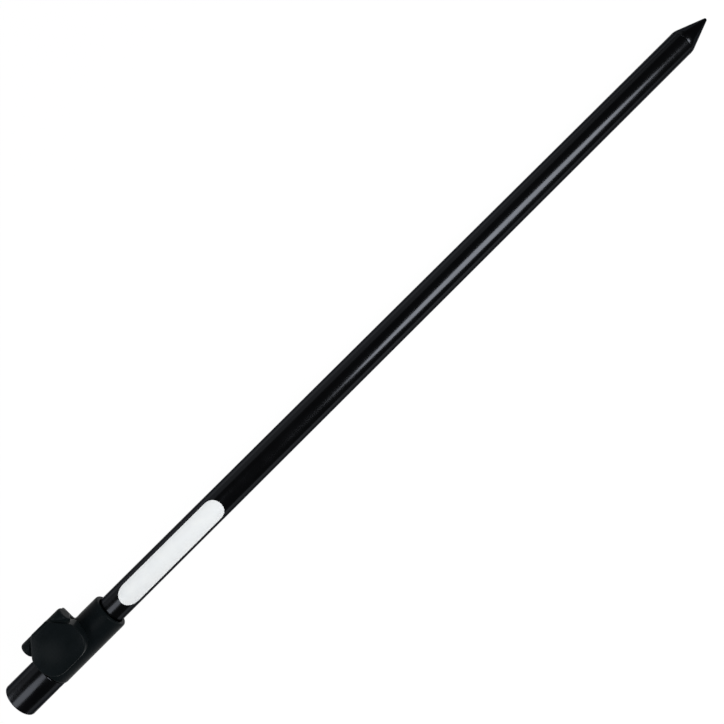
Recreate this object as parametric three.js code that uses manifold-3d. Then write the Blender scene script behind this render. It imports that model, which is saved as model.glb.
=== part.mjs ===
// Telescopic bank stick, closed, lying with its clamp lever on top.
// Millimetres. +X runs from the threaded head to the ground point and +Z is up.
// The origin is on the surface that the stick lies on, under the middle of its outline.
// Sizes along the stick are counted from the head's end face.

import * as THREE from 'three';
import { mergeVertices } from 'three/addons/utils/BufferGeometryUtils.js';
import Module from 'manifold-3d';

const wasm = await Module();
wasm.setup();

// Driving dimensions of the whole stick
const stickLength = 540;
const outerTubeDiameter = 16;
const outerTubeWall = 1;
const rodDiameter = 12;
const rodWall = 1;

// Clearances
const restGap = 0.3;
const seatGap = 0.1;
const runningGap = 0.15;
const faceGap = 0.2;
const cutOverrun = 2;

// Head and its thread insert
const headDiameter = 20.3;
const headLength = 22.6;
const headBevel = 0.5;
const headTubeDepth = 8.4;
const headWeb = 2;
const insertDiameter = 12.6;
const insertBore = 8.2;
const insertChamfer = 0.7;
const headPinDiameter = 2.5;
const springPinWall = 0.5;
const springPinSlit = 0.5;

// Clamp collar
const collarDiameter = 21.2;
const collarLength = 42.9;
const collarMouthBevel = 0.6;
const collarTailBevel = 0.9;
const collarTubeDepth = 11.5;
const clampBushWall = 0.85;
const clampBushFlange = 1.2;
const clampBushFlangeRise = 1.6;
const clampSlit = 1.4;
const slitReliefDiameter = 2.4;
const slitPastLugs = 1.5;
const guideBushFlange = 0.8;
const guideBushLength = 12;

// Lugs of the collar
const clampCentreFromMouth = 16.1;
const lugWidth = 18;
const lugReach = 19.6;
const lugTopHeight = 6.5;
const lugFootWidth = 10.4;
const lugTaperHeight = 1;
const lugRootFillet = 2.5;
const lugCornerBevel = 1.2;

// Tie: draw bolt, its barrel, nut, washer and saddle
const boltDiameter = 3.9;
const boltHoleGap = 0.35;
const barrelDiameter = 5;
const barrelInset = 0.6;
const barrelCover = 1.1;
const nutAcrossFlats = 7;
const nutHeight = 3.2;
const nutRecess = 1;
const washerDiameter = 7;
const washerHeight = 0.5;
const saddleHeight = 1;
const saddleLength = 8;

// Cam lever
const pivotOut = 15.6;
const camClosedRadius = 5.2;
const camTravel = 0.8;
const leverSwing = Math.PI / 2;
const camLead = -Math.PI / 12;
const leverWidth = 27;
const leverBelly = 0.3;
const leverEndRound = 1.3;
const leverTip = 6;
const leverTipCornerRound = 9;
const domeRadius = 36;
const domeTop = 20.4;
const domeCentreOut = 5.5;
const neckRootWidth = 10;
const neckFlare = 6;
const neckRise = 0.7;
const neckEndRound = 2;
const grooveWidth = 1.1;
const grooveDepth = 1.9;
const leverWall = 2.3;
const paddleOverSaddle = 0.8;
const coreHeight = 8;
const fingerGap = 2.6;
const fingerGapDepth = 3;
const forkGap = 0.45;

// Outer tube end, point, screw and label
const pointLand = 1.1;
const pointSpigotLength = 24;
const pointConeAngle = 19.7 * Math.PI / 180;
const pointShoulderRadius = 7;
const pointTipRadius = 1.1;
const screwFromCollarEnd = 5;
const screwDiameter = 2.8;
const screwHeadDiameter = 5.2;
const screwHeadHeight = 1.4;
const screwHeadInset = 0.5;
const screwSlotWidth = 0.8;
const screwSlotDepth = 0.7;
const labelFromCollar = 9.1;
const labelLength = 73;
const labelWidth = 13.4;
const labelThickness = 0.15;
const labelGlue = 0.05;
const labelTurn = 7 * Math.PI / 180;

// Rod's inner end
const plugSpigotLength = 16;
const plugFlange = 2.5;
const plugFlangeRise = 0.6;
const glideRingWidth = 6;
const glideSeatDepth = 1.4;
const plugTailFlange = 2;
const plugPinDiameter = 2;
const plugPinFromEnd = 7;
const plugBevel = 0.8;
const tailToPoint = 40.6;

// Facets round a full turn
const tubeSides = 48;
const smallSides = 24;
const domeSides = 64;
const camSteps = 10;

// Radii and stations worked out from the sizes above
const outerRadius = outerTubeDiameter / 2;
const outerBoreRadius = outerRadius - outerTubeWall;
const rodRadius = rodDiameter / 2;
const rodBoreRadius = rodRadius - rodWall;
const headRadius = headDiameter / 2;
const collarRadius = collarDiameter / 2;
const collarStart = headLength + restGap;
const collarEnd = collarStart + collarLength;
const socketFloor = collarEnd - collarTubeDepth;
const outerTubeStart = socketFloor + faceGap + guideBushFlange + faceGap;
const pointTipCentre = stickLength - pointTipRadius;
const pointTipTouch = pointTipCentre + pointTipRadius * Math.sin(pointConeAngle);
const pointTipTouchRadius = pointTipRadius * Math.cos(pointConeAngle);
const pointConeStart = pointTipTouch - (outerRadius - pointTipTouchRadius) / Math.tan(pointConeAngle);
const pointShoulderStart = pointConeStart - pointShoulderRadius * Math.tan(pointConeAngle / 2);
const pointBase = pointShoulderStart - pointLand;
const outerTubeEnd = pointBase - faceGap;
const rodStart = headLength - headTubeDepth + faceGap;
const guideBushEnd = socketFloor + faceGap + guideBushLength;
const pointSpigotStart = outerTubeEnd - pointSpigotLength;
const plugTailEnd = pointSpigotStart - tailToPoint;
const plugTailStart = plugTailEnd - plugTailFlange;
const glideRingEnd = plugTailStart - faceGap;
const glideRingStart = glideRingEnd - glideRingWidth;
const plugFlangeEnd = glideRingStart - faceGap;
const plugFlangeStart = plugFlangeEnd - plugFlange;
const rodEnd = plugFlangeStart - faceGap;
const clampCentre = collarStart + clampCentreFromMouth;
const saddleBase = lugTopHeight + seatGap;
const saddleTop = saddleBase + saddleHeight;
const pivotUp = saddleTop + faceGap + camClosedRadius;
const camOpenRadius = camClosedRadius - camTravel;
const camSlope = camTravel / leverSwing;
const leverReach = pivotOut + camOpenRadius;
const paddleUnderside = saddleTop + paddleOverSaddle - pivotUp;
const paddleTop = domeTop - pivotUp;
const leverTipOut = -pivotOut - leverTip;
const domeOut = domeCentreOut - pivotOut;
const sleeveClearRadius = collarRadius + restGap;
const bushBoreRadius = rodRadius + runningGap;
const clampBushRadius = bushBoreRadius + clampBushWall;
const clampBoreRadius = clampBushRadius + seatGap;

const stick = new THREE.Group();
stick.position.set(-stickLength / 2, (collarRadius - leverReach) / 2, collarRadius);

// Materials
const colours = {
  glossBlack: { color: 0x141618, roughness: 0.18, metalness: 0.3 },
  mouldedBlack: { color: 0x1b1c1e, roughness: 0.55, metalness: 0 },
  nylonWhite: { color: 0xd9d6cc, roughness: 0.5, metalness: 0 },
  acetalBlack: { color: 0x222326, roughness: 0.45, metalness: 0 },
  brightSteel: { color: 0xb4b6b8, roughness: 0.3, metalness: 1 },
  brass: { color: 0xb08d3f, roughness: 0.3, metalness: 1 },
  labelWhite: { color: 0xeceeee, roughness: 0.35, metalness: 0 },
};

function addPiece(name, piece, colour, parent = stick) {
  const mesh = new THREE.Mesh(toGeometry(piece), new THREE.MeshStandardMaterial(colours[colour]));
  mesh.name = name;
  parent.add(mesh);
}

// A closed three.js geometry as a solid that can be joined and cut
function toSolid(geometry) {
  geometry.deleteAttribute('normal');
  geometry.deleteAttribute('uv');
  const merged = mergeVertices(geometry);
  const index = merged.index.array;
  const triangles = [];
  for (let i = 0; i < index.length; i += 3) {
    const [a, b, c] = [index[i], index[i + 1], index[i + 2]];
    if (a !== b && b !== c && c !== a) triangles.push(a, b, c);
  }
  return new wasm.Manifold(new wasm.Mesh({
    numProp: 3,
    vertProperties: new Float32Array(merged.attributes.position.array),
    triVerts: new Uint32Array(triangles),
  }));
}

function toGeometry(piece) {
  const mesh = piece.getMesh();
  const geometry = new THREE.BufferGeometry();
  geometry.setAttribute('position', new THREE.BufferAttribute(mesh.vertProperties, 3));
  geometry.setIndex(new THREE.BufferAttribute(mesh.triVerts, 1));
  geometry.computeVertexNormals();
  return geometry;
}

// A closed outline of [place along the axis, radius] points, turned about the X axis
function turned(outline, sides = tubeSides) {
  const points = outline.map(([along, radius]) => new THREE.Vector2(radius, along));
  if (THREE.ShapeUtils.area(points) < 0) points.reverse();
  points.push(points[0].clone());
  return toSolid(new THREE.LatheGeometry(points, sides).rotateZ(-Math.PI / 2));
}

// A plain rod or ring about the X axis, from start to end
function ring(start, end, outer, inner = 0, sides = tubeSides) {
  return turned([[start, inner], [end, inner], [end, outer], [start, outer]], sides);
}

// A cylinder between two heights, standing at x and y
function standingRod(x, y, low, high, radius, sides = smallSides) {
  const geometry = new THREE.CylinderGeometry(radius, radius, high - low, sides);
  geometry.rotateX(Math.PI / 2);
  geometry.translate(x, y, (low + high) / 2);
  return toSolid(geometry);
}

// A cylinder across the stick, along Y, centred on the stick's axis at x
function crossRod(x, halfLength, radius, sides = smallSides) {
  const geometry = new THREE.CylinderGeometry(radius, radius, 2 * halfLength, sides);
  geometry.translate(x, 0, 0);
  return toSolid(geometry);
}

function block(lowX, highX, lowY, highY, lowZ, highZ) {
  const geometry = new THREE.BoxGeometry(highX - lowX, highY - lowY, highZ - lowZ);
  geometry.translate((lowX + highX) / 2, (lowY + highY) / 2, (lowZ + highZ) / 2);
  return toSolid(geometry);
}

// An outline in X and Y, raised along Z
function raised(shape, low, high) {
  const geometry = new THREE.ExtrudeGeometry(shape, { depth: high - low, bevelEnabled: false });
  geometry.translate(0, 0, low);
  return toSolid(geometry);
}

// An outline in Y and Z, drawn out along X, with its end edges rounded if asked
function drawnOut(shape, low, high, endRound = 0, roundSteps = 3) {
  const geometry = new THREE.ExtrudeGeometry(shape, {
    depth: high - low - 2 * endRound,
    bevelEnabled: endRound > 0,
    bevelThickness: endRound,
    bevelSize: endRound,
    bevelOffset: -endRound,
    bevelSegments: roundSteps,
  });
  geometry.translate(0, 0, low + endRound);
  geometry.rotateX(Math.PI / 2);
  geometry.rotateZ(Math.PI / 2);
  return toSolid(geometry);
}

// An outline in X and Z, drawn out along Y
function drawnAcross(shape, low, high) {
  const geometry = new THREE.ExtrudeGeometry(shape, { depth: high - low, bevelEnabled: false });
  geometry.rotateX(Math.PI / 2);
  geometry.translate(0, high, 0);
  return toSolid(geometry);
}

// Outer tube: open at both ends, drilled from below for the collar's screw
const screwX = collarEnd - screwFromCollarEnd;
const screwRadius = screwDiameter / 2;
const screwHoleRadius = screwRadius + seatGap;

function outerTube() {
  const tube = ring(outerTubeStart, outerTubeEnd, outerRadius, outerBoreRadius);
  return tube.subtract(standingRod(screwX, 0, -outerRadius - cutOverrun, 0, screwHoleRadius));
}
addPiece('outer_tube', outerTube(), 'glossBlack');

// Ground point: a cone with a soft shoulder and a small round tip, on a spigot in the tube
function groundPoint() {
  const spigotRadius = outerBoreRadius - seatGap;
  const outline = [
    [pointSpigotStart, 0],
    [pointSpigotStart, spigotRadius - plugBevel],
    [pointSpigotStart + plugBevel, spigotRadius],
    [pointBase, spigotRadius],
    [pointBase, outerRadius],
  ];
  const shoulderSteps = 5;
  for (let i = 0; i <= shoulderSteps; i += 1) {
    const turn = pointConeAngle * i / shoulderSteps;
    outline.push([
      pointShoulderStart + pointShoulderRadius * Math.sin(turn),
      outerRadius - pointShoulderRadius * (1 - Math.cos(turn)),
    ]);
  }
  const tipSteps = 4;
  for (let i = 0; i < tipSteps; i += 1) {
    const turn = pointConeAngle + (Math.PI / 2 - pointConeAngle) * i / tipSteps;
    outline.push([pointTipCentre + pointTipRadius * Math.sin(turn), pointTipRadius * Math.cos(turn)]);
  }
  outline.push([stickLength, 0]);
  return turned(outline);
}
addPiece('ground_point', groundPoint(), 'glossBlack');

// Label: a stadium wrapped on the tube, turned a little away from the top
function label() {
  const inner = outerRadius + labelGlue;
  const outer = inner + labelThickness;
  const start = collarEnd + labelFromCollar;
  const halfWidth = labelWidth / 2;
  const endSteps = 12;
  const points = [];
  for (const [centre, side] of [[start + labelLength - halfWidth, 1], [start + halfWidth, -1]]) {
    for (let i = 0; i <= endSteps; i += 1) {
      const turn = Math.PI * (i / endSteps - 1 / 2);
      const along = centre + side * halfWidth * Math.cos(turn);
      const across = side * halfWidth * Math.sin(turn);
      points.push(new THREE.Vector2(along, inner * Math.sin(across / inner)));
    }
  }
  const film = ring(start - cutOverrun, start + labelLength + cutOverrun, outer, inner);
  return film.intersect(raised(new THREE.Shape(points), 0, outer + cutOverrun));
}
const labelTurned = new THREE.Group();
labelTurned.rotation.x = labelTurn;
stick.add(labelTurned);
addPiece('label', label(), 'labelWhite', labelTurned);

// Clamp collar: a sleeve with a tube socket, a slit clamp bore and two lugs at one side
const lugHalfWidth = lugWidth / 2;
const boltRadius = boltDiameter / 2;
const boltHoleRadius = boltRadius + boltHoleGap;
const washerTop = -collarRadius + nutRecess + nutHeight + faceGap + washerHeight;
const pocketTop = washerTop + faceGap;

function hexagon(acrossFlats, centreX, centreY) {
  const corner = acrossFlats / Math.sqrt(3);
  const points = [];
  for (let i = 0; i < 6; i += 1) {
    const turn = i * Math.PI / 3;
    points.push(new THREE.Vector2(centreX + corner * Math.cos(turn), centreY + corner * Math.sin(turn)));
  }
  return new THREE.Shape(points);
}

function lugs() {
  const rootOut = Math.sqrt(collarRadius ** 2 - lugTopHeight ** 2);
  const plan = new THREE.Shape();
  plan.moveTo(clampCentre + lugHalfWidth + lugRootFillet, 0);
  plan.lineTo(clampCentre + lugHalfWidth + lugRootFillet, collarRadius - seatGap);
  plan.quadraticCurveTo(
    clampCentre + lugHalfWidth, collarRadius - seatGap,
    clampCentre + lugHalfWidth, collarRadius + lugRootFillet,
  );
  plan.lineTo(clampCentre + lugHalfWidth, lugReach - lugCornerBevel);
  plan.lineTo(clampCentre + lugHalfWidth - lugCornerBevel, lugReach);
  plan.lineTo(clampCentre - lugHalfWidth + lugCornerBevel, lugReach);
  plan.lineTo(clampCentre - lugHalfWidth, lugReach - lugCornerBevel);
  plan.lineTo(clampCentre - lugHalfWidth, collarRadius + lugRootFillet);
  plan.quadraticCurveTo(
    clampCentre - lugHalfWidth, collarRadius - seatGap,
    clampCentre - lugHalfWidth - lugRootFillet, collarRadius - seatGap,
  );
  plan.lineTo(clampCentre - lugHalfWidth - lugRootFillet, 0);

  const section = new THREE.Shape();
  section.moveTo(0, -collarRadius);
  section.lineTo(lugReach - lugCornerBevel, -collarRadius);
  section.lineTo(lugReach, -collarRadius + lugCornerBevel);
  section.lineTo(lugReach, lugTopHeight - lugCornerBevel);
  section.lineTo(lugReach - lugCornerBevel, lugTopHeight);
  section.lineTo(rootOut - seatGap, lugTopHeight);
  section.lineTo(0, lugTopHeight);

  const front = new THREE.Shape();
  const wide = lugHalfWidth + lugRootFillet;
  front.moveTo(clampCentre - lugFootWidth / 2, -collarRadius);
  front.lineTo(clampCentre + lugFootWidth / 2, -collarRadius);
  front.lineTo(clampCentre + wide, lugTaperHeight);
  front.lineTo(clampCentre + wide, lugTopHeight);
  front.lineTo(clampCentre - wide, lugTopHeight);
  front.lineTo(clampCentre - wide, lugTaperHeight);

  const fromPlan = raised(plan, -collarRadius, lugTopHeight);
  const fromSection = drawnOut(section, clampCentre - wide, clampCentre + wide);
  const fromFront = drawnAcross(front, 0, lugReach);
  return fromPlan.intersect(fromSection).intersect(fromFront);
}

function clampCollar() {
  const flangeRadius = clampBushRadius + clampBushFlangeRise + seatGap;
  const mouthDepth = collarStart + clampBushFlange + 2 * faceGap;
  const socketRadius = outerRadius + seatGap;
  const slitEnd = clampCentre + lugHalfWidth + lugRootFillet + slitPastLugs;
  const sleeve = turned([
    [collarStart, 0],
    [collarStart, collarRadius - collarMouthBevel],
    [collarStart + collarMouthBevel, collarRadius],
    [collarEnd - collarTailBevel, collarRadius],
    [collarEnd, collarRadius - collarTailBevel],
    [collarEnd, 0],
  ]);
  const cuts = [
    ring(collarStart - cutOverrun, collarEnd + cutOverrun, clampBoreRadius),
    ring(collarStart - cutOverrun, mouthDepth, flangeRadius),
    ring(socketFloor, collarEnd + cutOverrun, socketRadius),
    block(collarStart - cutOverrun, slitEnd, 0, lugReach + cutOverrun, -clampSlit / 2, clampSlit / 2),
    crossRod(slitEnd, collarRadius + cutOverrun, slitReliefDiameter / 2)
      .intersect(block(collarStart, collarEnd, 0, collarDiameter, -collarRadius, collarRadius)),
    standingRod(clampCentre, pivotOut, -collarDiameter, collarDiameter, boltHoleRadius),
    raised(hexagon(nutAcrossFlats + 2 * faceGap, clampCentre, pivotOut),
      -collarRadius - cutOverrun, pocketTop),
    standingRod(screwX, 0, -collarDiameter, 0, screwHoleRadius),
    standingRod(screwX, 0, -collarDiameter, -collarRadius + screwHeadInset + screwHeadHeight + seatGap,
      screwHeadDiameter / 2 + seatGap),
  ];
  return cuts.reduce((piece, cut) => piece.subtract(cut), sleeve.add(lugs()));
}
addPiece('clamp_collar', clampCollar(), 'mouldedBlack');

// Collar screw: round head with a slot, driven in from below as far as the tube's bore
function collarScrew() {
  const face = -collarRadius + screwHeadInset;
  const head = standingRod(screwX, 0, face, face + screwHeadHeight, screwHeadDiameter / 2);
  const shank = standingRod(screwX, 0, face, -outerBoreRadius, screwRadius);
  const slot = block(screwX - screwHeadDiameter, screwX + screwHeadDiameter,
    -screwSlotWidth / 2, screwSlotWidth / 2, face - cutOverrun, face + screwSlotDepth);
  return head.add(shank).subtract(slot);
}
addPiece('collar_screw', collarScrew(), 'brightSteel');

// Clamp bush: a split liner with a flange in the collar's mouth
function clampBush() {
  const start = collarStart + faceGap;
  const end = socketFloor;
  const bush = turned([
    [start, bushBoreRadius],
    [end, bushBoreRadius],
    [end, clampBushRadius],
    [start + clampBushFlange, clampBushRadius],
    [start + clampBushFlange, clampBushRadius + clampBushFlangeRise],
    [start, clampBushRadius + clampBushFlangeRise],
  ]);
  return bush.subtract(block(start - cutOverrun, end + cutOverrun, 0, collarRadius,
    -clampSlit / 2, clampSlit / 2));
}
addPiece('clamp_bush', clampBush(), 'nylonWhite');

// Guide bush: its flange is held between the collar's shoulder and the tube's end
function guideBush() {
  const start = socketFloor + faceGap;
  return turned([
    [start, bushBoreRadius],
    [guideBushEnd, bushBoreRadius],
    [guideBushEnd, outerBoreRadius - seatGap],
    [start + guideBushFlange, outerBoreRadius - seatGap],
    [start + guideBushFlange, outerRadius - seatGap],
    [start, outerRadius - seatGap],
  ]);
}
addPiece('guide_bush', guideBush(), 'nylonWhite');

// Cam saddle: a flat plate on the upper lug, under the cam
function camSaddle() {
  const plate = block(clampCentre - lugHalfWidth, clampCentre + lugHalfWidth,
    pivotOut - saddleLength / 2, pivotOut + saddleLength / 2, saddleBase, saddleTop);
  return plate.subtract(standingRod(clampCentre, pivotOut, saddleBase - cutOverrun, saddleTop + cutOverrun,
    boltHoleRadius));
}
addPiece('cam_saddle', camSaddle(), 'brightSteel');

// Tie: the stud from the barrel down through both lugs, with its washer and nut
const barrelRadius = barrelDiameter / 2;

function drawBolt() {
  const low = -collarRadius + nutRecess;
  const topOfBarrel = pivotUp + Math.sqrt(barrelRadius ** 2 - boltRadius ** 2);
  return standingRod(clampCentre, pivotOut, low, topOfBarrel, boltRadius);
}
addPiece('draw_bolt', drawBolt(), 'brightSteel');

// The barrel goes in from the head's side, and the lever covers its other end
const barrelHoleEnd = leverWidth / 2 - barrelCover;

function leverPin() {
  const barrel = ring(-leverWidth / 2 + barrelInset, barrelHoleEnd - faceGap, barrelRadius, 0, smallSides)
    .translate([clampCentre, pivotOut, pivotUp]);
  return barrel.subtract(standingRod(clampCentre, pivotOut, 0, collarDiameter, boltRadius + seatGap));
}
addPiece('lever_pin', leverPin(), 'brass');

function nutWasher() {
  const washer = standingRod(clampCentre, pivotOut, washerTop - washerHeight, washerTop, washerDiameter / 2);
  return washer.subtract(standingRod(clampCentre, pivotOut, -collarDiameter, 0, boltRadius + seatGap));
}
addPiece('nut_washer', nutWasher(), 'brightSteel');

function adjusterNut() {
  const low = -collarRadius + nutRecess;
  const nut = raised(hexagon(nutAcrossFlats, clampCentre, pivotOut), low, low + nutHeight);
  return nut.subtract(standingRod(clampCentre, pivotOut, -collarDiameter, 0, boltRadius + seatGap));
}
addPiece('adjuster_nut', adjusterNut(), 'brightSteel');

// Cam lever: worked about its pivot, with Y out from the stick and Z up.
// The cam's reach falls evenly as the lever swings, so its outline is an involute.
function camPoint(swing) {
  const reach = camClosedRadius - camSlope * swing;
  return new THREE.Vector2(
    reach * Math.sin(swing) - camSlope * Math.cos(swing),
    -reach * Math.cos(swing) - camSlope * Math.sin(swing),
  );
}

function camEdge() {
  const points = [];
  for (let i = 0; i <= camSteps; i += 1) {
    points.push(camPoint(camLead + (leverSwing - camLead) * i / camSteps));
  }
  return points;
}

// Points round a centre, from one turn to another, counted from +Y
function arc(centreOut, centreUp, radius, from, to, steps) {
  const points = [];
  for (let i = 0; i <= steps; i += 1) {
    const turn = from + (to - from) * i / steps;
    points.push(new THREE.Vector2(centreOut + radius * Math.cos(turn), centreUp + radius * Math.sin(turn)));
  }
  return points;
}

// Seen from above: a neck at the pivot that flares to the paddle, which has a round-cornered tip
function leverOutline() {
  const half = leverWidth / 2;
  const belly = half + leverBelly;
  const cornerOut = leverTipOut + leverTipCornerRound;
  const cornerCentre = belly - leverTipCornerRound;
  const outline = new THREE.Shape();
  outline.moveTo(-neckRootWidth / 2, camOpenRadius);
  outline.lineTo(-half, -neckFlare);
  outline.quadraticCurveTo(-belly, (domeOut - neckFlare) / 2, -belly, domeOut);
  outline.lineTo(-belly, cornerOut);
  outline.absarc(-cornerCentre, cornerOut, leverTipCornerRound, Math.PI, Math.PI * 3 / 2);
  outline.absarc(cornerCentre, cornerOut, leverTipCornerRound, -Math.PI / 2, 0);
  outline.lineTo(belly, domeOut);
  outline.quadraticCurveTo(belly, (domeOut - neckFlare) / 2, half, -neckFlare);
  outline.lineTo(neckRootWidth / 2, camOpenRadius);
  return outline;
}

// The cam bar across the stick's side, with rounded ends
function camBar() {
  const back = arc(0, 0, camOpenRadius, Math.PI / 12, Math.PI * 13 / 12, 9);
  return drawnOut(new THREE.Shape([...camEdge(), ...back]), -leverWidth / 2, leverWidth / 2, leverEndRound);
}

// The paddle's dome over the stick and the neck that rises from the bar to it
function paddleAndNeck() {
  const crest = camOpenRadius + neckRise;
  const slope = Math.atan2(paddleTop - crest, -domeOut);
  const plan = raised(leverOutline(), paddleUnderside - camClosedRadius, paddleTop);

  const sphere = new THREE.SphereGeometry(domeRadius, domeSides, domeSides / 2);
  sphere.translate(0, domeOut, paddleTop - domeRadius);
  const overStick = block(-leverWidth, leverWidth, -2 * leverReach, 0, paddleUnderside, paddleTop);
  const overPivot = block(-leverWidth, leverWidth, 0, camOpenRadius - neckEndRound, 0, paddleTop);
  const dome = plan.intersect(toSolid(sphere)).intersect(overStick.add(overPivot));

  const section = new THREE.Shape([
    ...camEdge(),
    ...arc(camOpenRadius - neckEndRound, crest - neckEndRound, neckEndRound, 0, Math.PI / 2, 4),
    new THREE.Vector2(domeOut, paddleTop),
    new THREE.Vector2(domeOut, paddleUnderside),
  ]);
  const round = new THREE.CylinderGeometry(domeRadius, domeRadius, 2 * leverReach, domeSides);
  round.rotateX(-slope);
  round.translate(0, domeOut, paddleTop - domeRadius / Math.cos(slope));
  const neck = plan.intersect(toSolid(round)).intersect(drawnOut(section, -leverWidth, leverWidth));
  return dome.add(neck);
}

// A groove along each side of the neck, which fades out where the paddle falls away
function neckGroove(side) {
  const half = leverWidth / 2;
  const flareOut = half - neckRootWidth / 2;
  const flareRun = camOpenRadius + neckFlare;
  const crest = camOpenRadius + neckRise;
  const turn = Math.atan2(flareOut, flareRun);
  const groove = new THREE.BoxGeometry(grooveWidth, Math.hypot(flareOut, flareRun), 2 * grooveDepth);
  groove.translate(grooveWidth / 2, 0, crest);
  groove.rotateZ(turn);
  groove.translate((half + neckRootWidth / 2) / 2, (camOpenRadius - neckFlare) / 2, 0);
  const piece = toSolid(groove);
  return side > 0 ? piece : piece.mirror([1, 0, 0]);
}

function camLever() {
  const sleeve = ring(-leverWidth, leverWidth, sleeveClearRadius).translate([0, -pivotOut, -pivotUp]);
  const barrelHole = ring(-leverWidth, barrelHoleEnd, barrelRadius + runningGap, 0, smallSides);

  const forkHalf = boltRadius + forkGap;
  const forkEnd = camClosedRadius + cutOverrun;
  const fork = drawnOut(new THREE.Shape([
    new THREE.Vector2(-forkHalf, 0),
    new THREE.Vector2(-forkHalf, -forkEnd),
    new THREE.Vector2(forkEnd, -forkEnd),
    new THREE.Vector2(forkEnd, forkHalf),
    new THREE.Vector2(0, forkHalf),
  ]), -forkHalf, forkHalf);

  const coreTip = leverTipOut + fingerGapDepth + leverWall;
  const coreRoot = -camClosedRadius - leverWall;
  const coreHalf = leverWidth / 2 - leverWall;
  const coreLow = paddleUnderside - cutOverrun;
  const core = block(-coreHalf, coreHalf, coreTip, coreRoot, coreLow, paddleUnderside + coreHeight);
  const rib = block(-leverWall / 2, leverWall / 2, leverTipOut, coreRoot + cutOverrun, coreLow, paddleTop);

  const sleeveAtTip = Math.sqrt(sleeveClearRadius ** 2 - leverTip ** 2) - pivotUp;
  const finger = block(-leverWidth, leverWidth, leverTipOut - cutOverrun, leverTipOut + fingerGapDepth,
    coreLow, sleeveAtTip + fingerGap);

  const cuts = [sleeve, barrelHole, fork, core.subtract(rib), finger, neckGroove(1), neckGroove(-1)];
  return cuts.reduce((piece, cut) => piece.subtract(cut), camBar().add(paddleAndNeck()));
}
const leverPivot = new THREE.Group();
leverPivot.position.set(clampCentre, pivotOut, pivotUp);
stick.add(leverPivot);
addPiece('cam_lever', camLever(), 'mouldedBlack', leverPivot);

// A split spring pin along Y through the stick's axis
function springPin(x, length, diameter) {
  const radius = diameter / 2;
  const pin = crossRod(x, length / 2, radius).subtract(crossRod(x, length, radius - springPinWall));
  return pin.subtract(block(x - springPinSlit / 2, x + springPinSlit / 2, -length, length, 0, diameter));
}

// Rod: the inner tube, drilled across for its two pins
const headPinX = rodStart + headTubeDepth / 2;
const plugPinX = rodEnd - plugPinFromEnd;
const headPinHoleRadius = headPinDiameter / 2 + seatGap;
const plugPinHoleRadius = plugPinDiameter / 2 + seatGap;

function innerTube() {
  return ring(rodStart, rodEnd, rodRadius, rodBoreRadius)
    .subtract(crossRod(headPinX, headRadius, headPinHoleRadius))
    .subtract(crossRod(plugPinX, headRadius, plugPinHoleRadius));
}
addPiece('inner_tube', innerTube(), 'glossBlack');

// Head cap: pocket for the thread insert at its face, socket for the rod at its back
const insertRadius = insertDiameter / 2;
const insertPocketRadius = insertRadius + seatGap;
const webStart = headLength - headTubeDepth - headWeb;

function headCap() {
  const cap = turned([
    [0, insertPocketRadius],
    [webStart, insertPocketRadius],
    [webStart, rodBoreRadius],
    [webStart + headWeb, rodBoreRadius],
    [webStart + headWeb, rodRadius + seatGap],
    [headLength, rodRadius + seatGap],
    [headLength, headRadius - headBevel],
    [headLength - headBevel, headRadius],
    [headBevel, headRadius],
    [0, headRadius - headBevel],
  ]);
  return cap.subtract(crossRod(headPinX, headDiameter, headPinHoleRadius));
}
addPiece('head_cap', headCap(), 'glossBlack');

// Thread insert: the 3/8 inch BSF female thread is cut in its bore
function threadInsert() {
  const boreRadius = insertBore / 2;
  return turned([
    [insertChamfer + faceGap, boreRadius],
    [webStart - faceGap, boreRadius],
    [webStart - faceGap, insertRadius],
    [faceGap, insertRadius],
    [faceGap, boreRadius + insertChamfer],
  ]);
}
addPiece('thread_insert', threadInsert(), 'brass');
addPiece('head_pin', springPin(headPinX, headDiameter - headBevel, headPinDiameter), 'brightSteel');

// Glide plug: a spigot in the rod, a flange that stops at the guide bush, and the ring's seat
const glideSeatRadius = rodRadius - glideSeatDepth;

function glidePlug() {
  const spigotRadius = rodBoreRadius - seatGap;
  const spigotStart = rodEnd - plugSpigotLength;
  const plug = turned([
    [spigotStart, 0],
    [spigotStart, spigotRadius - plugBevel],
    [spigotStart + plugBevel, spigotRadius],
    [plugFlangeStart, spigotRadius],
    [plugFlangeStart, rodRadius + plugFlangeRise],
    [plugFlangeEnd, rodRadius + plugFlangeRise],
    [plugFlangeEnd, glideSeatRadius],
    [plugTailStart, glideSeatRadius],
    [plugTailStart, rodRadius],
    [plugTailEnd - plugBevel, rodRadius],
    [plugTailEnd, rodRadius - plugBevel],
    [plugTailEnd, 0],
  ]);
  return plug.subtract(crossRod(plugPinX, headRadius, plugPinHoleRadius));
}
addPiece('glide_plug', glidePlug(), 'acetalBlack');
addPiece('plug_pin', springPin(plugPinX, rodDiameter - 2 * runningGap, plugPinDiameter), 'brightSteel');
addPiece('glide_ring', ring(glideRingStart, glideRingEnd, outerBoreRadius - runningGap,
  glideSeatRadius + runningGap), 'nylonWhite');

export default stick;
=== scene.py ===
import math

import bmesh
import bpy
from mathutils import Matrix, Vector


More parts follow.
